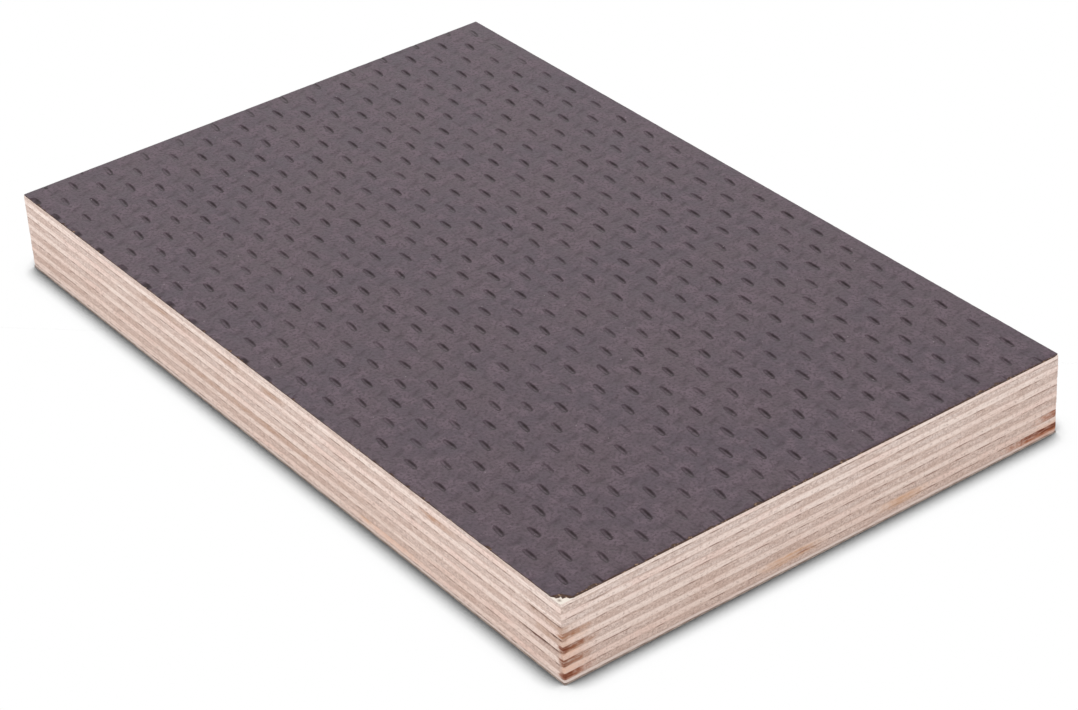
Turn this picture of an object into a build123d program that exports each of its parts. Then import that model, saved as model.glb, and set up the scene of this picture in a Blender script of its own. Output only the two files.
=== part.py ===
"""Film-faced plywood sheet: cross-laminated veneers under a tread film, with a smooth film beneath.

The sheet lies flat with its underside on Z = 0. The origin is the middle of the underside, X runs along the
length and Y along the width. Counted from the top, the odd veneers have their grain across the sheet, along Y,
and the even ones along X, so neighbours always cross and the two outer veneers match.
"""

import os

from build123d import *

# The sawn sheet, in millimetres
sheet_length = 190.0
sheet_width = 120.0

# Build-up through the thickness, in millimetres
core_veneer_count = 11
core_veneer_thickness = 1.46
face_veneer_thickness = 0.72
tread_film_thickness = 0.25
backing_film_thickness = 0.25

# The tread film is torn back from the saw cut, so the face veneer shows as a pale line round it
tread_film_setback = 0.2

# The film has flaked off one corner, at +X -Y: how far along each edge, and the flake's outline in shares of that
chip_along_length = 3.0
chip_along_width = 3.5
chip_outline_shares = ((0, 0), (1, 0), (0.85, 0.2), (0.7, 0.49), (0.37, 0.66), (0.13, 0.83), (0, 1))

os.makedirs("parts", exist_ok=True)


def write(part, name):
    """Label one finished layer and write its file."""
    part.label = name
    export_step(part, f"parts/{name}.step")


def full_layer(name, bottom, thickness):
    """A layer of the sheet's full outline. Returns the height of its top."""
    with BuildPart() as layer:
        with BuildSketch(Plane.XY.offset(bottom)):
            Rectangle(sheet_length, sheet_width)
        extrude(amount=thickness)
    write(layer.part, name)
    return bottom + thickness


# Smooth film on the underside
height = full_layer("backing_film", 0, backing_film_thickness)

# Veneers from the bottom up, the core ones numbered from the top as they are counted on the edge
height = full_layer("back_veneer", height, face_veneer_thickness)
for number in range(core_veneer_count, 0, -1):
    height = full_layer(f"core_veneer_{number:02d}", height, core_veneer_thickness)
height = full_layer("face_veneer", height, face_veneer_thickness)

# Tread film on top: torn back all round, and flaked off at one corner
film_length = sheet_length - 2 * tread_film_setback
film_width = sheet_width - 2 * tread_film_setback
with BuildPart() as tread_film:
    with BuildSketch(Plane.XY.offset(height)):
        Rectangle(film_length, film_width)
        with BuildLine():
            Polyline(
                [
                    (
                        film_length / 2 - along_length * chip_along_length,
                        along_width * chip_along_width - film_width / 2,
                    )
                    for along_length, along_width in chip_outline_shares
                ],
                close=True,
            )
        make_face(mode=Mode.SUBTRACT)
    extrude(amount=tread_film_thickness)
write(tread_film.part, "tread_film")
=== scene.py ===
"""Looks of an anti-slip film-faced plywood sheet: its imprinted tread film, sawn veneers, studio and camera.

Meshes are laid out in millimetres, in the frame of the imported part, and become metres when they are made.
X runs along the sheet, Y across it and Z up from its underside. The camera looks at the corner at +X -Y.
"""

import math
import random
from collections import namedtuple

import bmesh
import bpy
import numpy as np
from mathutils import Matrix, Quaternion, Vector, noise


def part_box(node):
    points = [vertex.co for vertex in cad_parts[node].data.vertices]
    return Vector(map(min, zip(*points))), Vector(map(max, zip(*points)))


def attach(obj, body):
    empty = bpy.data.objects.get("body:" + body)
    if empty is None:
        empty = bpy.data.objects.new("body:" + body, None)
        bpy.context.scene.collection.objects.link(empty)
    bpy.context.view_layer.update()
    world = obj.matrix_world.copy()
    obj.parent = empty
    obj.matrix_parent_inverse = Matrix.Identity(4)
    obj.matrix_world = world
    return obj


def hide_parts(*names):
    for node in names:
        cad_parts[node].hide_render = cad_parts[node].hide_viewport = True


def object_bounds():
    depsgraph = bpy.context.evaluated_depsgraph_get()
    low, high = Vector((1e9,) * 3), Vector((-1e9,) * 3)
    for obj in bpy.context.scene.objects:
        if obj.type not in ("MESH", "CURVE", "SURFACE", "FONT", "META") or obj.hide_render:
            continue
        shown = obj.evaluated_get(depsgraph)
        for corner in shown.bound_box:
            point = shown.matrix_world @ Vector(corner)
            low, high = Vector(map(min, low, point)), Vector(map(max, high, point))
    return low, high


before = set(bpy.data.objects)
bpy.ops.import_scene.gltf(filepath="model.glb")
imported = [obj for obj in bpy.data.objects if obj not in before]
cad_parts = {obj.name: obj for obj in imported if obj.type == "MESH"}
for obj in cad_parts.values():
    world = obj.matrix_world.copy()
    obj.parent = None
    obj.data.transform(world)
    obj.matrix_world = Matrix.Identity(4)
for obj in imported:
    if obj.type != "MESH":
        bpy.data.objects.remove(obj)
cad_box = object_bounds()

MM = 0.001
rng = random.Random(18)

# The sheet and its films, read from the frame, in millimetres
sheet_low, sheet_high = (corner / MM for corner in cad_box)
film_low, film_high = (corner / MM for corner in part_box("tread_film"))
core_names = sorted(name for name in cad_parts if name.startswith("core_veneer_"))

# Imprint of the woven wire cloth that the film was pressed with: millimetres and degrees
cloth_pitch = 4.62
cloth_origin = Vector((3.96, 0.56))
cloth_row_angle = -0.19
cloth_column_angle = 2.1
points_round_cell = 16
spare_cells = 2

# A dent's outline is a squared, bowed ellipse. Its rings run from the outside in: each is set out from the
# outline by an offset, sunk by a share of the depth and darkened with painted shade by a share, most on
# one long side of the dent and also at the lip at one end. The wires are round, so a dent rises and fades
# towards its ends.
DentRing = namedtuple("DentRing", "offset sunk shade")
DentForm = namedtuple(
    "DentForm", "half_along half_across depth turn bow end_rise end_fade shift even_share lip_share rings"
)
slot_form = DentForm(
    half_along=2.16,
    half_across=0.62,
    depth=0.3,
    turn=-5.0,
    bow=-0.06,
    end_rise=0.6,
    end_fade=0.25,
    shift=Vector((0.1, -0.2)),
    even_share=0.4,
    lip_share=1.0,
    rings=(
        DentRing(0.14, -0.02, 0),
        DentRing(0, 0.08, 0.5),
        DentRing(-0.1, 0.6, 1),
        DentRing(-0.32, 0.92, 1),
        DentRing(-0.48, 1, 0.3),
    ),
)
hollow_form = DentForm(
    half_along=1.8,
    half_across=0.5,
    depth=0.06,
    turn=110.0,
    bow=0.4,
    end_rise=0.5,
    end_fade=0.5,
    shift=Vector((0.3, -0.01)),
    even_share=1.0,
    lip_share=0,
    rings=(
        DentRing(0.4, 0, 0),
        DentRing(0.1, 0.25, 0.14),
        DentRing(-0.14, 0.75, 0.3),
        DentRing(-0.36, 1, 0.32),
    ),
)
dent_squareness = 0.65
dent_side_shade_focus = 1.5
dent_lip_angle = -12.0
dent_lip_focus = 3

# How one dent differs from the next, and how far its ends bulge into the cells beside it
press_least = 0.55
press_most = 1.0
press_usual = 0.95
dent_length_shares = (0.88, 1.0)
dent_width_shares = (0.9, 1.06)
dent_shift = 0.14
dent_turn = 4.0
dent_tilt_share = 0.2
cell_bulge = 0.32

# A patch where the cloth pressed lightly
faint_centre = Vector((47, -18))
faint_half_size = Vector((28, 3))
faint_share = 0.5

# The film's surface: how far it lies under the frame's top, its waves, how far it is bedded in the veneer and
# the angle in degrees up to which its faces are shaded as one
film_sink = 0.03
film_wave = 0.014
film_wave_length = 9.0
film_ripple = 0.006
film_ripple_length = 2.2
film_bed = 0.12
film_smooth_angle = 60.0

# The film's rim, side by side: the axis and the way it faces, how far its torn edge stays inside the saw
# cut, how deep notches are torn into it and how deep a dent may be there. It is frayed between its longer
# tears, and its brown base paper reaches further out.
Rim = namedtuple("Rim", "axis way gap notch_depth dent_depth")
rims = (
    Rim(0, 1, (0.2, 0.55), 1.4, 0.16),
    Rim(1, -1, (0.08, 0.28), 1.2, 0.16),
    Rim(0, -1, (0.02, 0.07), 0, 0.04),
    Rim(1, 1, (0.02, 0.07), 0, 0.04),
)
rim_reach = 3.8
rim_step = 0.3
film_cut_line = 0.95
cut_tolerance = 0.01
tear_length = 1.8
fray_length = 0.5
fray_share = 0.3
notch_length = 1.1
notch_level = 0.24
paper_gap = 0.14
paper_thickness = 0.03
Notch = namedtuple("Notch", "middle half_length depth")
right_side_notches = (Notch(-52.6, 1.1, 0.8), Notch(-54.9, 1.6, 0.3))

# The flake at the corner: how far along each edge, its inner edge in shares of that, the share at which this
# edge meets the film's cut line, its roughness and its strip of torn paper, with rates in features to a
# millimetre
flake_along_length = 3.2
flake_along_width = 3.3
flake_edge_shares = ((0, 1), (0.14, 0.91), (0.41, 0.76), (0.72, 0.58), (0.86, 0.27), (1, 0))
flake_cut_share = 0.84
flake_blend_share = 0.06
flake_roughness = 0.14
flake_rate = 1.7
flake_paper = 1.0
flake_paper_level = 0.6
flake_paper_rate = 1.9

# Sawn edges of the veneers, in millimetres, with rates in features to a millimetre
edge_step = 0.5
edge_row_shares = (0, 0.07, 0.3, 0.7, 0.93, 1)
glue_wander = 0.1
glue_wander_length = 14.0
glue_ripple = 0.06
glue_ripple_length = 3.2
glue_groove = 0.04
glue_groove_focus = 8
saw_wander = 0.015
saw_wander_length = 26.0
end_fuzz = 0.05
long_fuzz = 0.02
fuzz_length = 0.7
fuzz_rows = 2
fine_fuzz_share = 0.5
fine_fuzz_rate = 3
fine_fuzz_rows = 4
corner_ease = 0.1
corner_ease_reach = 0.9
top_edge_ease = 0.03
torn_ring_insets = (0.45, 0.9, 1.5, 2.2)
torn_roughness = 0.03
torn_rate_along = 1.6
torn_rate_across = 0.5
hidden_ring = 3.0
veneer_smooth_angle = 50.0

# Glue lines that gape near the nearest corner: the veneer above, the axis that the gap runs along, its ends
# and its width
Split = namedtuple("Split", "above axis start end gape")
splits = (
    Split("core_veneer_03", 0, 84.8, 88.2, 0.26),
    Split("core_veneer_03", 0, 90.6, 95.0, 0.22),
    Split("core_veneer_07", 0, 81.5, 86.4, 0.36),
    Split("core_veneer_07", 0, 88.6, 94.6, 0.3),
    Split("core_veneer_05", 0, 91.5, 94.8, 0.22),
    Split("core_veneer_09", 0, 92.0, 94.8, 0.18),
    Split("core_veneer_01", 1, -54.2, -49.3, 0.18),
)

# Camera fitted to the photograph's seven visible corners, in millimetres and degrees
camera_place = Vector((452.8, -312.5, 351.1))
camera_target = Vector((29.1, -15.0, 18.0))
camera_roll = -3.47
camera_lens = 106.0
camera_sensor = 36.0

# Soft boxes that face the frame's origin: places and sizes in millimetres, power in watts
SoftBox = namedtuple("SoftBox", "name place size power")
soft_boxes = (
    SoftBox("back_soft_box", Vector((-620, 430, 490)), 650, 0.55),
    SoftBox("front_soft_box", Vector((-200, -900, 420)), 650, 1.0),
)

# The floor in millimetres, and the contact shadow on it: how far it looks for the sheet and which shares of
# open sky are black and white
floor_reach = 20000.0
floor_drop = 0.02
shadow_reach = 6.0
shadow_black_share = 0.41
shadow_white_share = 0.92
shadow_samples = 8

# How far apart neighbouring seeds lie, in the noise that shapes the meshes and in the materials' patterns
seed_steps = (17.3, -31.7, 7.9)
pattern_steps = (13.7, 5.1, 0)


def srgb(red, green, blue):
    """A colour as it is seen on screen, from 0 to 255, as the linear RGBA that shaders take."""
    def linear(value):
        value /= 255
        return value / 12.92 if value <= 0.04045 else ((value + 0.055) / 1.055) ** 2.4

    return (linear(red), linear(green), linear(blue), 1)


def between(pair, share):
    """A colour that lies between two others."""
    first, second = pair
    return tuple(a + (b - a) * share for a, b in zip(first, second))


def limit(value):
    """A value brought into 0 to 1."""
    return min(1, max(0, value))


def drift(seed, *place):
    """Smooth noise from -1 to 1, the same on every run. Each seed has its own field."""
    spot = (*place, 0, 0)[:3]
    return noise.noise(Vector([value + step * seed for value, step in zip(spot, seed_steps)]))


def make_piece(name, mesh, node, material):
    """One piece of the sheet, which stands for a CAD node. The mesh is in millimetres until here."""
    mesh.transform(((MM, 0, 0, 0), (0, MM, 0, 0), (0, 0, MM, 0), (0, 0, 0, 1)))
    mesh.materials.append(material)
    piece = bpy.data.objects.new(name, mesh)
    bpy.context.scene.collection.objects.link(piece)
    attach(piece, "root")
    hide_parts(node)
    return piece


# Tread film

def direction(angle):
    """A flat unit vector at an angle in degrees from +X."""
    return Vector((math.cos(math.radians(angle)), math.sin(math.radians(angle))))


cloth_row = cloth_pitch * direction(cloth_row_angle)
cloth_column = cloth_pitch * direction(90 + cloth_column_angle)
film_top = film_high.z - film_sink


def film_level(x, y):
    """Height of the film's face between the dents."""
    wave = film_wave * drift(1, x / film_wave_length, y / film_wave_length)
    ripple = film_ripple * drift(7, x / film_ripple_length, y / film_ripple_length)
    return film_top + wave + ripple


def border_shares():
    """Points round a cell, anticlockwise from the middle of its +X side, in shares of the cell's sides."""
    side = points_round_cell // 4
    run = [k / side - 0.5 for k in range(side)]
    right = [(0.5, share) for share in run]
    top = [(-share, 0.5) for share in run]
    left = [(-0.5, -share) for share in run]
    bottom = [(share, -0.5) for share in run]
    ring = right + top + left + bottom
    return ring[side // 2:] + ring[:side // 2]


def press_share(centre):
    """How hard one dent is pressed. No two are alike, and one patch is faint."""
    share = rng.triangular(press_least, press_most, press_usual)
    apart = centre - faint_centre
    if abs(apart.x) < faint_half_size.x and abs(apart.y) < faint_half_size.y:
        share *= faint_share
    return share


class Dent:
    """One dent of the imprint, with its own depth, size and turn. It is shallower where the saw cut it."""

    def __init__(self, form, centre):
        self.form = form
        self.pressed = press_share(centre)
        self.depth = form.depth * self.pressed
        for rim in rims:
            if rim.way * centre[rim.axis] > sheet_high[rim.axis] - rim_reach:
                self.depth = min(self.depth, rim.dent_depth)
        self.half_along = form.half_along * rng.uniform(*dent_length_shares)
        self.half_across = form.half_across * rng.uniform(*dent_width_shares)
        self.tilt = rng.uniform(-dent_tilt_share, dent_tilt_share)
        self.forth = direction(form.turn + rng.uniform(-dent_turn, dent_turn))
        self.side = Vector((-self.forth.y, self.forth.x))
        strayed = Vector((rng.uniform(-dent_shift, dent_shift), rng.uniform(-dent_shift, dent_shift)))
        self.middle = centre + form.shift + strayed

    def point(self, ring, angle):
        """A point of a ring of the dent: its place and its painted shade."""
        form = self.form
        along_share = math.cos(angle)
        across_share = math.copysign(abs(math.sin(angle)) ** dent_squareness, math.sin(angle))
        along = (self.half_along + ring.offset) * along_share
        across = (self.half_across + ring.offset) * across_share + form.bow * (along_share ** 2 - 0.5)
        spot = self.middle + along * self.forth + across * self.side
        sunk = ring.sunk * (1 - form.end_rise * along_share ** 2) * (1 + self.tilt * along_share)
        height = film_level(spot.x, spot.y) - self.depth * sunk
        # Painted shade, most on one long side of the dent and at the lip at one end, fading towards its ends
        stretched = (1 - form.even_share) * max(0, math.sin(angle)) ** dent_side_shade_focus
        lip = form.lip_share * max(0, math.cos(angle - math.radians(dent_lip_angle))) ** dent_lip_focus
        shade = ring.shade * (1 - form.end_fade * along_share ** 2) * (form.even_share + stretched + lip)
        return spot.x, spot.y, height, limit(self.pressed * shade)


class FilmFace:
    """Vertices and faces of the film's upper face, one dent for each cell of the cloth."""

    def __init__(self):
        self.places = []
        self.shades = []
        self.faces = []
        self.shared = {}

    def place(self, x, y, z, shade=0):
        self.places.append((x, y, z))
        self.shades.append(shade)
        return len(self.places) - 1

    def border_point(self, row, column, share):
        """A point on a cell's border, shared with the cells beside it. A dent's ends bulge into those."""
        key = (round((column + share[0]) * points_round_cell), round((row + share[1]) * points_round_cell))
        if key not in self.shared:
            spot = cloth_origin + (column + share[0]) * cloth_row + (row + share[1]) * cloth_column
            end = 0 if (row + column) % 2 == 0 else 1
            if abs(share[end]) == 0.5:
                spot[end] += math.copysign(cell_bulge, share[end]) * (1 - 4 * share[1 - end] ** 2)
            else:
                spot[1 - end] -= math.copysign(cell_bulge, share[1 - end]) * (1 - 4 * share[end] ** 2)
            self.shared[key] = self.place(spot.x, spot.y, film_level(spot.x, spot.y))
        return self.shared[key]

    def add_cell(self, row, column):
        """One cell: its border, the rings of its dent and the dent's floor."""
        is_slot = (row + column) % 2 == 0
        centre = cloth_origin + column * cloth_row + row * cloth_column
        dent = Dent(slot_form if is_slot else hollow_form, centre)
        first = 0 if is_slot else -points_round_cell // 4
        outer = [self.border_point(row, column, share) for share in border_shares()]
        for ring in dent.form.rings:
            angles = (2 * math.pi * (k + first) / points_round_cell for k in range(points_round_cell))
            inner = [self.place(*dent.point(ring, angle)) for angle in angles]
            self.bridge(outer, inner)
            outer = inner
        self.add_floor(outer[-first:] + outer[:-first])

    def bridge(self, outer, inner):
        """Faces between two rings of a cell."""
        for k in range(points_round_cell):
            after = (k + 1) % points_round_cell
            self.faces.append((outer[k], outer[after], inner[after], inner[k]))

    def add_floor(self, ring):
        """Faces across a dent's floor, from side to side. The ring starts at one end of the dent."""
        half = points_round_cell // 2
        self.faces.append((ring[0], ring[1], ring[-1]))
        for k in range(1, half - 1):
            self.faces.append((ring[k], ring[k + 1], ring[-k - 1], ring[-k]))
        self.faces.append((ring[half - 1], ring[half], ring[half + 1]))


def cut_film_outline(bm):
    """Cut the lattice of dents back from the saw cut on all four sides."""
    for rim in rims:
        normal = Vector((0, 0, 0))
        normal[rim.axis] = rim.way
        bmesh.ops.bisect_plane(
            bm,
            geom=bm.verts[:] + bm.edges[:] + bm.faces[:],
            plane_co=normal * (sheet_high[rim.axis] - film_cut_line),
            plane_no=normal,
            clear_outer=True,
        )


def flake_shares(point):
    """How far a point lies from the flaked corner, in shares of the flake's two sides."""
    return (sheet_high.x - point.x) / flake_along_length, (point.y - sheet_low.y) / flake_along_width


def cut_flake(bm):
    """Take the flake out of the corner: cut its edge into the faces there and delete what lies outside."""
    corners = []
    for along, across in flake_edge_shares:
        x = sheet_high.x - along * flake_along_length
        y = sheet_low.y + across * flake_along_width
        corners.append(Vector((x, y, film_top)))
    reach = 2 * max(flake_along_length, flake_along_width)
    for start, end in zip(corners, corners[1:]):
        near = [face for face in bm.faces if (face.calc_center_median() - start).length < reach]
        edges = dict.fromkeys(edge for face in near for edge in face.edges)
        verts = dict.fromkeys(vert for face in near for vert in face.verts)
        normal = (end - start).cross(Vector((0, 0, 1)))
        bmesh.ops.bisect_plane(bm, geom=[*near, *edges, *verts], plane_co=start, plane_no=normal)
    edge_along, edge_across = zip(*flake_edge_shares)
    flaked = []
    for face in bm.faces:
        along, across = flake_shares(face.calc_center_median())
        if along < 1 and across < np.interp(along, edge_along, edge_across):
            flaked.append(face)
    bmesh.ops.delete(bm, geom=flaked, context="FACES")


def rim_gap(rim, run):
    """How far the torn rim stays inside the saw cut, at a place along a side."""
    seed = 2 + rim.axis + 10 * (rim.way + 1)
    low, high = rim.gap
    torn = 0.5 + 0.5 * drift(seed, run / tear_length)
    frayed = fray_share * drift(seed + 0.3, run / fray_length)
    gap = low + (high - low) * limit(torn + frayed)
    gap += rim.notch_depth * max(0, drift(seed + 0.6, run / notch_length) - notch_level)
    if rim.axis == 0 and rim.way == 1:
        for notch in right_side_notches:
            gap += notch.depth * limit(2 - 2 * abs(run - notch.middle) / notch.half_length)
    return min(gap, film_cut_line)


def split_rim(bm):
    """Split the film's cut edge into short steps, so that it can be torn raggedly."""
    for edge in [edge for edge in bm.edges if edge.is_boundary]:
        start, end = edge.verts
        for left in range(math.ceil(edge.calc_length() / rim_step), 1, -1):
            _, start = bmesh.utils.edge_split(edge, start, 1 / left)
            edge = next(part for part in start.link_edges if end in part.verts)


def tear_rim(bm):
    """Draw the film's cut edge out to its torn rim, roughen the flake's edge and note the paper's reach."""
    paper = bm.verts.layers.float_vector.new("paper_reach")
    for vert in [vert for vert in bm.verts if vert.is_boundary]:
        start = vert.co.copy()
        beside_flake = max(flake_shares(start)) - flake_cut_share
        if beside_flake < flake_blend_share:
            vert.co.x += flake_roughness * drift(4, flake_rate * start.x, flake_rate * start.y)
            vert.co.y += flake_roughness * drift(5, flake_rate * start.x, flake_rate * start.y)
            ragged = flake_paper_level + drift(6, flake_paper_rate * start.x, flake_paper_rate * start.y)
            vert[paper] = Vector((1, -1, 0)) * flake_paper * max(0, ragged) / math.sqrt(2)
        for rim in rims:
            if rim.way * start[rim.axis] > sheet_high[rim.axis] - film_cut_line - cut_tolerance:
                share = limit(beside_flake / flake_blend_share)
                gap = rim_gap(rim, start[1 - rim.axis])
                vert.co[rim.axis] += rim.way * share * (film_cut_line - gap)
                reach = Vector((0, 0, 0))
                reach[rim.axis] = rim.way * max(0, gap - paper_gap)
                vert[paper] = vert[paper] * (1 - share) + reach * share


def extrude_rim(bm, height):
    """Add a wall down from the film's open rim to a height. Returns its lower points."""
    rim = [edge for edge in bm.edges if edge.is_boundary]
    made = bmesh.ops.extrude_edge_only(bm, edges=rim)["geom"]
    lower = [item for item in made if isinstance(item, bmesh.types.BMVert)]
    for vert in lower:
        vert.co.z = height
    return lower


def close_film(bm):
    """Give the film its thickness: torn paper below its rim, the paper's own edge and a flat underside."""
    torn = bm.verts.layers.float.new("torn")
    paper = bm.verts.layers.float_vector["paper_reach"]
    for vert in extrude_rim(bm, film_low.z + paper_thickness):
        vert.co += vert[paper]
        vert[torn] = 1
    bm.verts.layers.float_vector.remove(paper)
    extrude_rim(bm, film_low.z - film_bed)
    centre = bm.verts.new((0, 0, film_low.z - film_bed))
    for edge in [edge for edge in bm.edges if edge.is_boundary]:
        bm.faces.new((edge.verts[0], edge.verts[1], centre))
    bmesh.ops.recalc_face_normals(bm, faces=bm.faces[:])


def film_mesh():
    """The tread film: dents, torn rim, flaked corner and underside, as one closed mesh."""
    face = FilmFace()
    columns = math.ceil(sheet_high.x / cloth_pitch) + spare_cells
    rows = math.ceil(sheet_high.y / cloth_pitch) + spare_cells
    for row in range(-rows, rows + 1):
        for column in range(-columns, columns + 1):
            face.add_cell(row, column)
    mesh = bpy.data.meshes.new("tread_film_imprinted")
    mesh.from_pydata(face.places, [], face.faces)
    mesh.attributes.new("dent_shade", "FLOAT", "POINT").data.foreach_set("value", face.shades)
    bm = bmesh.new()
    bm.from_mesh(mesh)
    cut_film_outline(bm)
    cut_flake(bm)
    split_rim(bm)
    tear_rim(bm)
    close_film(bm)
    bm.to_mesh(mesh)
    bm.free()
    mesh.shade_smooth()
    mesh.set_sharp_from_angle(angle=math.radians(film_smooth_angle))
    return mesh


# Veneers

EdgePoint = namedtuple("EdgePoint", "place outward run to_corner")


def edge_points():
    """Points round the sheet's outline, anticlockwise from the corner at -X -Y."""
    corners = [
        Vector((sheet_low.x, sheet_low.y)),
        Vector((sheet_high.x, sheet_low.y)),
        Vector((sheet_high.x, sheet_high.y)),
        Vector((sheet_low.x, sheet_high.y)),
    ]
    points = []
    run = 0
    for k, start in enumerate(corners):
        side = corners[(k + 1) % 4] - start
        before = start - corners[k - 1]
        outward = Vector((side.y, -side.x)).normalized()
        outward_before = Vector((before.y, -before.x)).normalized()
        steps = round(side.length / edge_step)
        for step in range(steps):
            gone = side.length * step / steps
            place = start + side * step / steps
            facing = outward if step else outward + outward_before
            to_corner = min(gone, side.length - gone)
            points.append(EdgePoint(place, facing, run + gone, to_corner))
        run += side.length
    return points


outline = edge_points()


def split_gape(above, point):
    """How far the glue line under a veneer gapes at a point of the outline, on the sides at -Y and +X."""
    gape = 0
    for split in splits:
        is_on_side = point.outward.x > 0 if split.axis else point.outward.y < 0
        place = point.place[split.axis]
        if split.above == above and is_on_side and split.start < place < split.end:
            share = (place - split.start) / (split.end - split.start)
            gape = max(gape, split.gape * math.sin(math.pi * share) ** 0.5)
    return gape


def interface_height(seed, nominal, point):
    """A glue line isn't quite straight. The veneers above and below share its wander."""
    wander = drift(seed, point.run / glue_wander_length)
    ripple = drift(seed + 0.5, point.run / glue_ripple_length)
    return nominal + glue_wander * wander + glue_ripple * (ripple + 0.5 * drift(seed + 0.25, point.run))


def edge_inset(point, share, seed, grain_axis):
    """How far a point of a sawn edge lies inside the sheet's true outline."""
    is_end = abs(point.outward[grain_axis]) > 0.5
    fuzz = end_fuzz if is_end else long_fuzz
    rough = abs(drift(seed, point.run / fuzz_length, fuzz_rows * share))
    rough += fine_fuzz_share * abs(drift(seed + 0.3, fine_fuzz_rate * point.run, fine_fuzz_rows * share))
    sawn = saw_wander * (1 + drift(20, point.run / saw_wander_length))
    groove = glue_groove * abs(2 * share - 1) ** glue_groove_focus
    near_corner = max(0, 1 - point.to_corner / corner_ease_reach)
    ease = corner_ease * near_corner ** 2 * (0.5 + abs(drift(seed + 0.7, point.run)))
    return sawn + fuzz * rough + groove + ease


Veneer = namedtuple("Veneer", "node number grain_axis low high")


def veneer_stack():
    """The veneers from the top down. The odd ones have their grain along Y, and the even ones along X."""
    stack = []
    for number, node in enumerate(["face_veneer", *core_names, "back_veneer"], 1):
        low, high = (corner.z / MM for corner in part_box(node))
        stack.append(Veneer(node, number, number % 2, low, high))
    return stack


def veneer_heights(veneer, above, point):
    """Heights of a veneer's lower and upper edge at a point of the outline."""
    low, high = veneer.low, veneer.high
    if veneer.node != "back_veneer":
        low = interface_height(veneer.number, veneer.low, point)
    if above:
        high = interface_height(veneer.number - 1, veneer.high, point) - split_gape(above.node, point)
    return low, high


def sawn_ring(veneer, above, share):
    """Points round a veneer's sawn edge, at a share of its thickness."""
    ring = []
    for point in outline:
        low, high = veneer_heights(veneer, above, point)
        inset = edge_inset(point, share, veneer.number, veneer.grain_axis)
        if above is None and share == 1:
            inset += top_edge_ease
        spot = point.place - point.outward * inset
        ring.append((spot.x, spot.y, low + (high - low) * share))
    return ring


def inner_ring(inset, height, roughness=0):
    """Points inside the outline, on a veneer's flat face."""
    ring = []
    for point in outline:
        x = point.place.x * (1 - inset / sheet_high.x)
        y = point.place.y * (1 - inset / sheet_high.y)
        torn = abs(drift(8, torn_rate_along * x, torn_rate_across * y))
        ring.append((x, y, height - roughness * torn))
    return ring


def veneer_mesh(veneer, above):
    """A closed veneer: rings from under its hidden face, up its sawn edge and in again over the top."""
    rings = [(inner_ring(hidden_ring, veneer.low), -1)]
    rings += [(sawn_ring(veneer, above, share), 2 * share - 1) for share in edge_row_shares]
    bed = 0
    if above is None:
        bed = film_bed
        rings += [
            (inner_ring(inset, veneer.high - bed * (inset / hidden_ring) ** 2, torn_roughness), 1)
            for inset in torn_ring_insets
        ]
    rings.append((inner_ring(hidden_ring, veneer.high - bed), 1))
    count = len(outline)
    places = [place for ring, _ in rings for place in ring]
    heights = [height for _, height in rings for _ in range(count)]
    middles = (len(places), len(places) + 1)
    places += [(0, 0, veneer.low), (0, 0, veneer.high - bed)]
    heights += [-1, 1]
    top = (len(rings) - 1) * count
    faces = []
    for k in range(count):
        after = (k + 1) % count
        for low in range(0, top, count):
            faces.append((low + k, low + after, low + count + after, low + count + k))
        faces.append((after, k, middles[0]))
        faces.append((top + k, top + after, middles[1]))
    mesh = bpy.data.meshes.new(f"{veneer.node}_sawn")
    mesh.from_pydata(places, [], faces)
    mesh.attributes.new("ply_height", "FLOAT", "POINT").data.foreach_set("value", heights)
    mesh.shade_smooth()
    mesh.set_sharp_from_angle(angle=math.radians(veneer_smooth_angle))
    return mesh


# Materials

# A mask is nothing where a pattern has its start value, and the most where it has its end value
Mask = namedtuple("Mask", "start end most")


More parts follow.
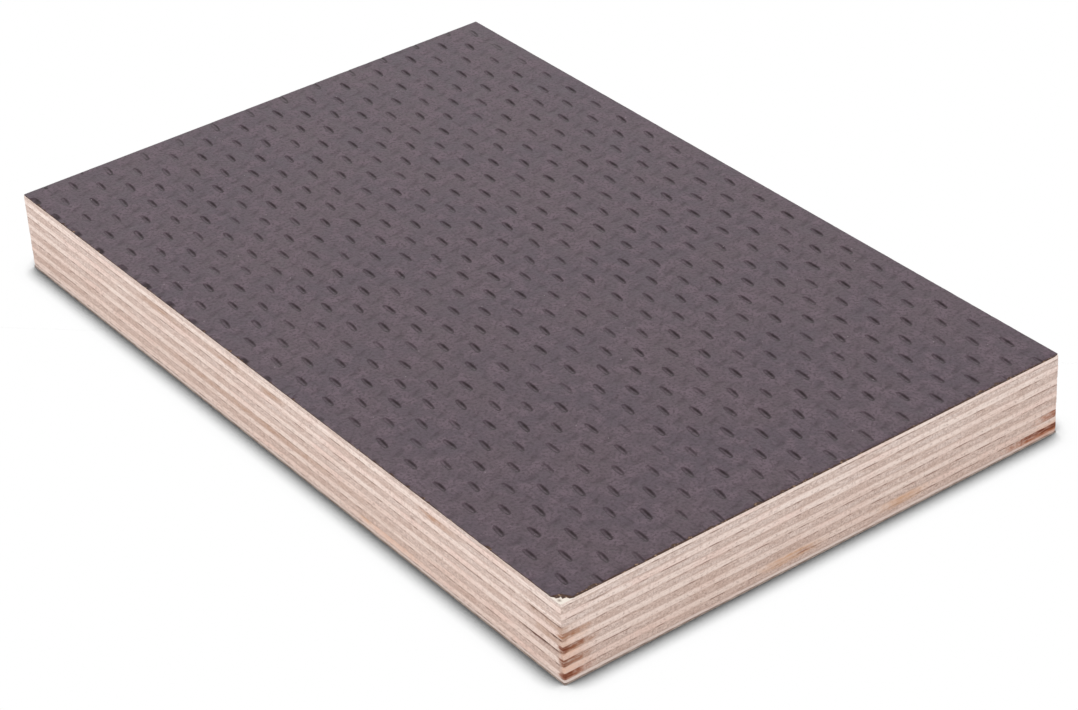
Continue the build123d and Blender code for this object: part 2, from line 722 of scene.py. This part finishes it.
class Shader:
    """A material's nodes, with short calls for the ones used here."""

    def __init__(self, name):
        self.material = bpy.data.materials.new(name)
        self.material.use_nodes = True
        self.tree = self.material.node_tree
        self.surface = self.tree.nodes["Principled BSDF"]
        place = self.add("ShaderNodeTexCoord").outputs["Object"]
        self.place = self.vector("SCALE", place, Scale=1 / MM)

    def set(self, node, inputs):
        """Set or link a node's inputs."""
        for key, value in inputs.items():
            if isinstance(value, bpy.types.NodeSocket):
                self.tree.links.new(value, node.inputs[key])
            else:
                node.inputs[key].default_value = value
        return node

    def add(self, kind, inputs=None, **settings):
        node = self.tree.nodes.new(kind)
        for key, value in settings.items():
            setattr(node, key, value)
        return self.set(node, inputs or {})

    def vector(self, operation, first, second=(0, 0, 0), **inputs):
        """A vector worked out from one or two vectors."""
        node = self.add("ShaderNodeVectorMath", operation=operation)
        return self.set(node, {0: first, 1: second, **inputs}).outputs["Vector"]

    def length(self, vector):
        return self.add("ShaderNodeVectorMath", {0: vector}, operation="LENGTH").outputs["Value"]

    def math(self, operation, first, second=0.0):
        return self.add("ShaderNodeMath", {0: first, 1: second}, operation=operation).outputs["Value"]

    def noise(self, stretch, seed, detail=2.0, roughness=0.5):
        """Noise with so many features to a millimetre along X, Y and Z."""
        shifted = self.vector("ADD", self.place, [step * seed for step in pattern_steps])
        stretched = self.vector("MULTIPLY", shifted, stretch)
        inputs = {"Vector": stretched, "Scale": 1.0, "Detail": detail, "Roughness": roughness}
        return self.add("ShaderNodeTexNoise", inputs).outputs["Fac"]

    def attribute(self, name):
        """A value that the mesh carries at its points."""
        return self.add("ShaderNodeAttribute", attribute_name=name).outputs["Fac"]

    def facing(self):
        """The way the surface faces, as X, Y and Z."""
        normal = self.add("ShaderNodeNewGeometry").outputs["True Normal"]
        return self.add("ShaderNodeSeparateXYZ", {"Vector": normal}).outputs

    def ramp(self, value, start, end):
        """0 at start, 1 at end and smooth between them."""
        inputs = {"Value": value, "From Min": start, "From Max": end}
        node = self.add("ShaderNodeMapRange", inputs, interpolation_type="SMOOTHSTEP")
        return node.outputs["Result"]

    def scaled(self, value, most):
        """A mask brought down to so much at most."""
        return self.math("MULTIPLY", value, most)

    def masked(self, value, mask):
        """A mask made from a pattern."""
        return self.scaled(self.ramp(value, mask.start, mask.end), mask.most)

    def mix(self, share, first, second):
        """One colour turned into another by a mask."""
        node = self.add("ShaderNodeMix", data_type="RGBA")
        self.tree.links.new(share, node.inputs["Factor"])
        return self.set(node, {6: first, 7: second}).outputs[2]

    def bump(self, height, strength, distance):
        inputs = {"Height": height, "Strength": strength, "Distance": distance * MM}
        return self.add("ShaderNodeBump", inputs).outputs["Normal"]

    def finish(self, **inputs):
        self.set(self.surface, inputs)
        return self.material


# Colours of the films
film_light = srgb(104, 87, 97)
film_blue = srgb(78, 63, 74)
film_brown = srgb(84, 67, 76)
film_dark = srgb(56, 42, 49)
# Colour of the painted shade in the dents
film_painted_dent_shade = srgb(34, 19, 24)
film_paper = srgb(72, 48, 36)
film_paper_pale = srgb(150, 122, 98)
film_speck = srgb(160, 150, 152)
backing_dark = srgb(58, 40, 33)
backing_light = srgb(74, 52, 43)
backing_sawn = srgb(150, 130, 118)
backing_edge_pale = srgb(188, 170, 158)

# Patterns of the films in features to a millimetre, and the masks made from them
film_cloud_rate = 0.06
film_cloud_range = (0.35, 0.65)
film_mottle_rate = 0.32
film_mottle_mask = Mask(0.42, 0.7, 0.9)
film_grain_rate = 1.5
film_grain_mask = Mask(0.55, 0.35, 0.65)
film_speck_rate = 0.26
film_speck_range = (0.036, 0.016)
paper_rate = 2.2
paper_pale_range = (0.55, 0.7)
paper_torn_range = (0.02, 0.12)
backing_cloud_rate = 0.05
backing_edge_pale_rate = 0.4
backing_range = (0.3, 0.7)
backing_sawn_range = (0.6, 0.4)
backing_peel_rate = 0.9

# Shine and fine relief of the films: the range of a pattern that makes the roughness, the sheen, which is
# weaker in the dents, the bump's strength and its height in millimetres, and the mottle's part in it
film_roughness_range = (-0.75, 1.9)
film_sheen_mask = Mask(4.0, -4.0, 0.6)
film_bump = (0.6, 0.12)
film_mottle_relief = 1.5
backing_roughness_range = (-0.8, 2.6)
backing_bump = (0.15, 0.04)


def even(rate):
    """As many features to a millimetre along X as along Y and Z."""
    return (rate, rate, rate)


def tread_film_material():
    """Satin phenolic film: mottled grey-brown, painted shade in dents, brown where torn, with pale specks."""
    s = Shader("tread_film")
    clouds = s.ramp(s.noise(even(film_cloud_rate), 1, detail=3), *film_cloud_range)
    colour = s.mix(clouds, film_blue, film_brown)
    mottle = s.noise(even(film_mottle_rate), 2, detail=4, roughness=0.6)
    colour = s.mix(s.masked(mottle, film_mottle_mask), colour, film_light)
    grain = s.noise(even(film_grain_rate), 3, detail=3, roughness=0.6)
    colour = s.mix(s.masked(grain, film_grain_mask), colour, film_dark)
    # Painted shade in the dents, carried by the mesh
    shade = s.attribute("dent_shade")
    colour = s.mix(shade, colour, film_painted_dent_shade)
    scatter = {"Vector": s.place, "Scale": film_speck_rate, "Randomness": 1.0}
    specks = s.add("ShaderNodeTexVoronoi", scatter).outputs["Distance"]
    colour = s.mix(s.ramp(specks, *film_speck_range), colour, film_speck)
    fibres = s.noise(even(paper_rate), 7)
    paper = s.mix(s.ramp(fibres, *paper_pale_range), film_paper, film_paper_pale)
    colour = s.mix(s.ramp(s.attribute("torn"), *paper_torn_range), colour, paper)
    relief = s.math("ADD", grain, s.scaled(mottle, film_mottle_relief))
    return s.finish(**{
        "Base Color": colour,
        "Roughness": s.ramp(mottle, *film_roughness_range),
        "Specular IOR Level": s.masked(shade, film_sheen_mask),
        "Normal": s.bump(relief, *film_bump),
    })


def backing_film_material():
    """Smooth phenolic film: dark brown, clouded by the press, with fine orange peel, paler where sawn."""
    s = Shader("backing_film")
    clouds = s.ramp(s.noise(even(backing_cloud_rate), 4, detail=4), *backing_range)
    colour = s.mix(clouds, backing_dark, backing_light)
    edge_pale_patches = s.ramp(s.noise(even(backing_edge_pale_rate), 6, detail=3), *backing_range)
    sawn = s.mix(edge_pale_patches, backing_sawn, backing_edge_pale)
    colour = s.mix(s.ramp(s.math("ABSOLUTE", s.facing()["Z"]), *backing_sawn_range), colour, sawn)
    peel = s.noise(even(backing_peel_rate), 5, detail=2)
    return s.finish(**{
        "Base Color": colour,
        "Roughness": s.ramp(peel, *backing_roughness_range),
        "Normal": s.bump(peel, *backing_bump),
    })


# Colours of the wood, each for the top veneer and for the darker bottom one: painted shade near the floor
long_pale = (srgb(248, 231, 222), srgb(232, 211, 200))
long_blush = (srgb(242, 213, 203), srgb(227, 196, 183))
long_streak = (srgb(220, 196, 184), srgb(204, 178, 164))
end_pale = (srgb(230, 213, 205), srgb(215, 192, 181))
end_tan = (srgb(209, 183, 170), srgb(192, 163, 149))
end_pore = (srgb(168, 144, 135), srgb(154, 126, 114))
margin_brown = srgb(200, 174, 161)
glue_brown = srgb(128, 96, 84)
strip_pale = srgb(238, 220, 210)
flake_cream = srgb(240, 230, 219)
back_veneer_grey = srgb(222, 209, 202)

# Burns and stains on the sawn edges, and painted shade in cracks: the veneer, the middle of the mark, its
# half sizes in millimetres, its colour and its strength
burn_tan = srgb(178, 128, 94)
burn_red = srgb(128, 70, 44)
burn_ember = srgb(190, 112, 66)
burn_dark = srgb(112, 56, 36)
tint_orange = srgb(230, 188, 164)
stain_tan = srgb(202, 156, 120)
stain_brown = srgb(182, 146, 124)
stain_grey = srgb(150, 134, 122)
crack_painted_shade = srgb(104, 66, 54)
Stain = namedtuple("Stain", "veneer middle half_size colour strength")
stains = (
    Stain("face_veneer", (93.8, -59.3, 17.75), (0.7, 0.5, 1.0), stain_grey, 0.9),
    Stain("core_veneer_04", (95, -60, 11.9), (3.0, 5.0, 1.6), stain_brown, 0.5),
    Stain("core_veneer_05", (95, -60, 10.5), (2.0, 9.0, 2.4), burn_tan, 0.9),
    Stain("core_veneer_05", (95, -60, 10.9), (2.0, 6.0, 1.4), burn_red, 0.5),
    Stain("core_veneer_06", (95, -60, 9.0), (1.6, 8.0, 2.4), tint_orange, 0.6),
    Stain("core_veneer_07", (95, -60, 7.5), (2.0, 9.0, 2.4), burn_tan, 0.9),
    Stain("core_veneer_07", (95, -60, 8.1), (2.0, 8.0, 1.9), burn_red, 0.95),
    Stain("core_veneer_08", (95, -60, 6.1), (1.6, 8.0, 2.4), tint_orange, 0.7),
    Stain("core_veneer_09", (95, -60, 4.6), (2.0, 8.0, 2.4), burn_tan, 0.9),
    Stain("core_veneer_09", (95, -60, 4.8), (2.0, 7.5, 1.9), burn_red, 0.85),
    Stain("core_veneer_10", (95, -60, 3.2), (1.6, 8.0, 2.4), tint_orange, 0.7),
    Stain("core_veneer_11", (95, -60, 1.7), (2.0, 8.0, 2.4), burn_ember, 0.7),
    Stain("core_veneer_11", (95, -60, 1.9), (2.0, 7.5, 1.9), burn_red, 0.95),
    Stain("core_veneer_09", (95, 60, 4.6), (2.0, 7.0, 2.2), burn_ember, 0.7),
    Stain("core_veneer_09", (95, 61, 4.4), (2.0, 6.0, 1.8), burn_red, 0.9),
    Stain("core_veneer_11", (95, 57.5, 1.4), (2.0, 14.0, 2.2), burn_ember, 0.9),
    Stain("core_veneer_11", (95, 57, 2.1), (2.0, 11.0, 1.5), burn_dark, 1.0),
    Stain("back_veneer", (95, 58, 0.9), (2.0, 11.0, 1.0), burn_ember, 0.7),
    Stain("core_veneer_10", (95, 58, 2.5), (2.0, 9.0, 1.0), tint_orange, 0.7),
    Stain("core_veneer_10", (95, -8, 2.9), (3.0, 11.0, 1.6), stain_tan, 0.7),
    Stain("core_veneer_10", (95, -4.8, 2.6), (3.0, 2.6, 0.7), burn_red, 0.8),
    Stain("core_veneer_11", (95, -8, 2.4), (3.0, 10.0, 1.0), stain_tan, 0.6),
    Stain("core_veneer_10", (95, 20, 3.1), (3.0, 8.0, 1.6), stain_tan, 0.7),
    Stain("core_veneer_11", (95, 20, 2.4), (3.0, 8.0, 0.8), stain_tan, 0.5),
    Stain("core_veneer_02", (-39, -60, 14.9), (12.0, 3.0, 1.4), stain_brown, 0.7),
    Stain("core_veneer_02", (-13, -60, 14.9), (11.0, 3.0, 1.4), stain_brown, 0.7),
    Stain("core_veneer_02", (2, -60, 14.9), (6.0, 3.0, 1.4), stain_brown, 0.7),
    Stain("core_veneer_02", (57, -60, 14.9), (9.0, 3.0, 1.4), burn_tan, 0.6),
    Stain("core_veneer_08", (-3, -60, 6.1), (48.0, 3.0, 1.6), stain_brown, 0.6),
    Stain("core_veneer_04", (91, -60, 12.0), (9.0, 2.0, 1.4), stain_brown, 0.6),
    Stain("core_veneer_06", (91, -60, 9.0), (9.0, 2.0, 1.4), stain_brown, 0.6),
    # Dark brown lines along the cracks in the glue lines: painted shade inside the cracks
    Stain("core_veneer_04", (90, -60, 12.65), (7.0, 2.0, 0.6), crack_painted_shade, 0.9),
    Stain("core_veneer_04", (49.4, -60, 11.2), (1.0, 2.0, 0.7), crack_painted_shade, 0.9),
    Stain("core_veneer_06", (68, -60, 9.73), (6.0, 2.0, 0.5), crack_painted_shade, 0.7),
    Stain("core_veneer_06", (93, -60, 9.73), (4.0, 2.0, 0.6), crack_painted_shade, 0.8),
    Stain("core_veneer_08", (88.5, -60, 6.81), (9.0, 2.0, 0.75), crack_painted_shade, 1.0),
    Stain("core_veneer_07", (95, -60.5, 7.9), (2.0, 3.2, 1.8), burn_dark, 0.8),
    Stain("core_veneer_09", (95, -60.5, 4.8), (2.0, 3.2, 1.8), burn_dark, 0.6),
    Stain("core_veneer_11", (95, -60.5, 1.9), (2.0, 3.2, 1.8), burn_dark, 0.8),
    Stain("core_veneer_11", (42, -60, 2.0), (13.0, 3.0, 1.4), tint_orange, 0.7),
    Stain("core_veneer_11", (33, -60, 2.2), (3.0, 3.0, 0.7), stain_tan, 0.7),
)

# Patterns of the wood in features to a millimetre: across the grain, through the veneer and along the grain
# for the fibres and streaks, and along X, Y and Z for the others
fibre_rates = (3.4, 3.4, 0.119)
streak_rates = (0.3, 2.8, 0.03)
band_rates = (0.16, 0.16, 2.4)
patch_rates = (0.07, 0.07, 0.25)
saw_mark_rates = (2.2, 2.2, 0.35)
fleck_rates = (1.3, 1.3, 2.4)
glue_break_rates = (0.34, 0.26, 0.3)
stain_edge_rates = (0.9, 0.9, 1.4)

# Masks and ranges made from those patterns, from the way that a face looks and from the distance to the
# flaked corner in millimetres
patch_mask = Mask(0.42, 0.68, 0.7)
streak_mask = Mask(0.48, 0.72, 0.7)
long_fibre_mask = Mask(0.48, 0.72, 0.5)
end_fibre_mask = Mask(0.45, 0.7, 0.6)
band_mask = Mask(0.42, 0.68, 0.7)
saw_mark_mask = Mask(0.5, 0.75, 0.2)
dark_fleck_mask = Mask(0.5, 0.7, 0.6)
pale_fleck_mask = Mask(0.5, 0.3, 0.6)
back_veneer_grey_mask = Mask(0.2, 0.6, 0.7)
soak_mask = Mask(0.85, 0.3, 1.3)
stain_edge = 1.05
end_facing_range = (0.45, 0.65)
top_facing_range = (0.5, 0.8)
flake_cream_range = (5.0, 3.5)

# Glue lines: the dark margin's share of a veneer and its strength, the line's height in millimetres, where
# it is broken, and its strength on cut ends and along the grain, at the top and at the bottom of a veneer
glue_margin_share = 0.24
glue_margin_strength = 0.5
glue_line = 0.18
glue_break_range = (0.43, 0.62)
glue_at_top = (0.85, 0.2)
glue_at_bottom = (0.2, 0.75)

# Shine and fine relief of the wood, as for the films
wood_roughness_range = (-1.5, 1.2)
wood_sheen = 0.3
wood_bump = (0.35, 0.06)


def grain_stretch(grain_axis, width, thickness, length):
    """Features to a millimetre along X, Y and Z, for a grain along X or Y."""
    return (length, width, thickness) if grain_axis == 0 else (width, length, thickness)


def stained(s, colour, stain, ragged, streaks):
    """A colour with one stain on it, with a ragged edge and streaks along the grain."""
    apart = s.vector("SUBTRACT", s.place, stain.middle)
    apart = s.vector("DIVIDE", apart, stain.half_size)
    edge = s.math("ADD", s.length(apart), ragged)
    soaked = s.scaled(s.ramp(streaks, soak_mask.start, soak_mask.end), soak_mask.most * stain.strength)
    return s.mix(s.math("MULTIPLY", s.ramp(edge, stain_edge, 0), soaked), colour, stain.colour)


def glued(s, colour, veneer, is_end):
    """Darken a veneer beside its glue lines, which show as broken lines, most above a ply of cut ends."""
    line_share = glue_line / (veneer.high - veneer.low)
    height = s.attribute("ply_height")
    sides = ((1, veneer.number - 1, glue_at_top), (-1, veneer.number, glue_at_bottom))
    for way, seed, (on_end, on_long) in sides:
        beside = s.ramp(height, way * (1 - 2 * glue_margin_share), way)
        colour = s.mix(s.scaled(beside, glue_margin_strength), colour, margin_brown)
        breaks = s.noise(glue_break_rates, seed + 60, detail=4, roughness=0.65)
        line = s.ramp(height, way * (1 - 2 * line_share), way * (1 - 0.5 * line_share))
        broken = s.math("MULTIPLY", line, s.ramp(breaks, *glue_break_range))
        most = s.math("ADD", s.scaled(is_end, on_end - on_long), on_long)
        colour = s.mix(s.math("MULTIPLY", broken, most), colour, glue_brown)
    return colour


def birch(s, veneer, is_end, fibres, streaks, saw_marks):
    """Bare wood: streaked and pale along the grain, darker and speckled where its fibres are cut across."""
    seed = veneer.number

    # Lower veneers take more of each pair's darker colour: painted shade towards the floor
    def with_floor_shade(pair):
        return between(pair, (seed - 1) / (len(core_names) + 1))

    patches = s.masked(s.noise(patch_rates, seed + 40, detail=3, roughness=0.6), patch_mask)
    bands = s.noise(band_rates, seed + 30, detail=4, roughness=0.6)
    flecks = s.noise(fleck_rates, seed + 70, detail=4, roughness=0.7)
    pale = s.mix(patches, with_floor_shade(long_pale), with_floor_shade(long_blush))
    pale = s.mix(s.masked(streaks, streak_mask), pale, with_floor_shade(long_streak))
    pale = s.mix(s.masked(fibres, long_fibre_mask), pale, with_floor_shade(long_streak))
    cut = s.mix(patches, with_floor_shade(end_pale), with_floor_shade(end_tan))
    cut = s.mix(s.masked(bands, band_mask), cut, with_floor_shade(end_tan))
    cut = s.mix(s.masked(fibres, end_fibre_mask), cut, with_floor_shade(end_pore))
    wood = s.mix(is_end, pale, cut)
    wood = s.mix(s.masked(saw_marks, saw_mark_mask), wood, with_floor_shade(end_pore))
    wood = s.mix(s.masked(flecks, dark_fleck_mask), wood, with_floor_shade(end_pore))
    wood = s.mix(s.masked(flecks, pale_fleck_mask), wood, with_floor_shade(long_pale))
    # The back veneer is paler and greyer in patches
    if veneer.node == "back_veneer":
        wood = s.mix(s.masked(bands, back_veneer_grey_mask), wood, back_veneer_grey)
    return wood


def bared(s, colour, veneer, facing):
    """Pale wood on top of the face veneer where the film is torn back, the palest where it has flaked."""
    to_corner = s.length(s.vector("SUBTRACT", s.place, (sheet_high.x, sheet_low.y, veneer.high)))
    strip = s.mix(s.ramp(to_corner, *flake_cream_range), strip_pale, flake_cream)
    return s.mix(s.ramp(facing["Z"], *top_facing_range), colour, strip)


def veneer_material(veneer):
    """Birch veneer with its glue lines, stains and saw marks."""
    s = Shader(f"{veneer.node}_wood")
    seed = veneer.number
    axis = veneer.grain_axis
    fibres = s.noise(grain_stretch(axis, *fibre_rates), seed, detail=3)
    streaks = s.noise(grain_stretch(axis, *streak_rates), seed + 20, detail=3)
    saw_marks = s.noise(saw_mark_rates, 80, detail=3, roughness=0.6)
    facing = s.facing()
    is_end = s.ramp(s.math("ABSOLUTE", facing["XY"[axis]]), *end_facing_range)
    wood = birch(s, veneer, is_end, fibres, streaks, saw_marks)
    colour = glued(s, wood, veneer, is_end)
    if veneer.node == "face_veneer":
        colour = bared(s, colour, veneer, facing)
    ragged = s.math("SUBTRACT", s.noise(stain_edge_rates, seed + 50, detail=3), 0.5)
    for stain in stains:
        if stain.veneer == veneer.node:
            colour = stained(s, colour, stain, ragged, streaks)
    return s.finish(**{
        "Base Color": colour,
        "Roughness": s.ramp(fibres, *wood_roughness_range),
        "Specular IOR Level": wood_sheen,
        "Normal": s.bump(s.math("ADD", fibres, saw_marks), *wood_bump),
    })


# Studio

floor_grey = srgb(235, 235, 235)


def studio_floor():
    """A pale floor under the sheet."""
    mesh = bpy.data.meshes.new("floor")
    reach = floor_reach * MM
    corners = [(-reach, -reach, 0), (reach, -reach, 0), (reach, reach, 0), (-reach, reach, 0)]
    mesh.from_pydata(corners, [], [(0, 1, 2, 3)])
    mesh.materials.append(floor_material())
    floor = bpy.data.objects.new("floor", mesh)
    floor.location.z = -floor_drop * MM
    bpy.context.scene.collection.objects.link(floor)


def floor_material():
    """White to the camera except where the sheet shades it, plain grey to the light, and clear from below."""
    s = Shader("floor")
    nodes = s.tree.nodes
    nodes.remove(s.surface)
    sky = s.add("ShaderNodeAmbientOcclusion", {"Distance": shadow_reach * MM}, samples=shadow_samples)
    shade = s.ramp(sky.outputs["AO"], shadow_black_share, shadow_white_share)
    seen = s.add("ShaderNodeLightPath").outputs
    mirrored = s.math("MAXIMUM", seen["Is Glossy Ray"], seen["Is Transmission Ray"])
    shown = s.math("MAXIMUM", seen["Is Camera Ray"], mirrored)
    white = s.add("ShaderNodeEmission", {"Color": shade, "Strength": 1.0}).outputs["Emission"]
    plain = s.add("ShaderNodeBsdfDiffuse", {"Color": floor_grey}).outputs["BSDF"]
    both = s.add("ShaderNodeMixShader", {0: shown, 1: plain, 2: white}).outputs["Shader"]
    under = s.add("ShaderNodeNewGeometry").outputs["Backfacing"]
    clear = s.add("ShaderNodeBsdfTransparent").outputs["BSDF"]
    whole = s.add("ShaderNodeMixShader", {0: under, 1: both, 2: clear}).outputs["Shader"]
    s.tree.links.new(whole, nodes["Material Output"].inputs["Surface"])
    return s.material


def studio_world():
    """White surroundings that light the sheet softly from all round."""
    world = bpy.data.worlds.new("studio")
    world.use_nodes = True
    bpy.context.scene.world = world
    background = world.node_tree.nodes["Background"]
    background.inputs["Color"].default_value = (1, 1, 1, 1)
    background.inputs["Strength"].default_value = 1.0


def soft_lamp(box):
    """A square soft box that faces the frame's origin."""
    light = bpy.data.lights.new(box.name, "AREA")
    light.size = box.size * MM
    light.energy = box.power
    lamp = bpy.data.objects.new(box.name, light)
    lamp.location = box.place * MM
    lamp.rotation_mode = "QUATERNION"
    lamp.rotation_quaternion = (-box.place).to_track_quat("-Z", "Y")
    lamp.visible_camera = False
    bpy.context.scene.collection.objects.link(lamp)


def photo_camera():
    """The photograph's camera."""
    data = bpy.data.cameras.new("camera")
    data.lens = camera_lens
    data.sensor_width = camera_sensor
    camera = bpy.data.objects.new("camera", data)
    camera.location = camera_place * MM
    camera.rotation_mode = "QUATERNION"
    aim = (camera_target - camera_place).to_track_quat("-Z", "Y")
    camera.rotation_quaternion = aim @ Quaternion((0, 0, 1), math.radians(camera_roll))
    bpy.context.scene.collection.objects.link(camera)
    bpy.context.scene.camera = camera


make_piece("tread_film_imprinted", film_mesh(), "tread_film", tread_film_material())
above = None
for veneer in veneer_stack():
    mesh = veneer_mesh(veneer, above)
    make_piece(f"{veneer.node}_sawn", mesh, veneer.node, veneer_material(veneer))
    above = veneer
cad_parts["backing_film"].material_slots[0].material = backing_film_material()

studio_floor()
studio_world()
for box in soft_boxes:
    soft_lamp(box)
photo_camera()
bpy.context.scene.view_settings.view_transform = "Standard"
